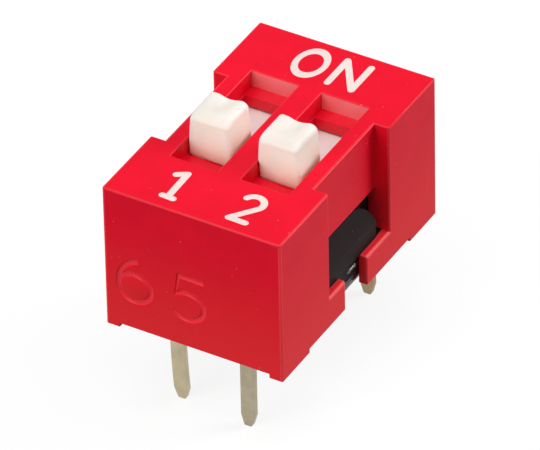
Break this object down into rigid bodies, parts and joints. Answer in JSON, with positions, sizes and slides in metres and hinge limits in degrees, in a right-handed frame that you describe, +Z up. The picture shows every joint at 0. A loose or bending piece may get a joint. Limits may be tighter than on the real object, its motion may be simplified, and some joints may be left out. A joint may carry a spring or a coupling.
{
  "type": "slide dip switch",
  "caption": "Through-hole slide switch block with recessed white sliders, a waisted red cover and flat tapered pins.",
  "frame": {"origin": "centre of the four-pin grid, on the plane where the stand-offs meet the board", "axes": "+X along the row of switches, +Y from the OFF end to the ON end, +Z up out of the board"},
  "size_m": [0.0064, 0.01, 0.0095],
  "materials": {
    "cover_plastic": "moulded red, satin gloss",
    "base_plastic": "moulded black, matte",
    "sealing_resin": "cast black resin, glossy",
    "slider_plastic": "moulded warm white, satin",
    "contact_metal": "gold-coloured spring strip",
    "terminal_metal": "tinned strip, dull",
    "legend_ink": "white pad print"
  },
  "bodies": {
    "housing": {"cover": "cover_plastic", "base": "base_plastic", "seal": "sealing_resin", "terminal_front_1": "terminal_metal", "terminal_front_2": "terminal_metal", "terminal_back_1": "terminal_metal", "terminal_back_2": "terminal_metal"},
    "switch_1": {"slider_1": "slider_plastic", "contact_1": "contact_metal"},
    "switch_2": {"slider_2": "slider_plastic", "contact_2": "contact_metal"}
  },
  "joints": [
    {"name": "slide_1", "type": "slide", "parent": "housing", "child": "switch_1", "axis": [0, 1, 0], "range_m": [0, 0.002]},
    {"name": "slide_2", "type": "slide", "parent": "housing", "child": "switch_2", "axis": [0, 1, 0], "range_m": [0, 0.002]}
  ]
}
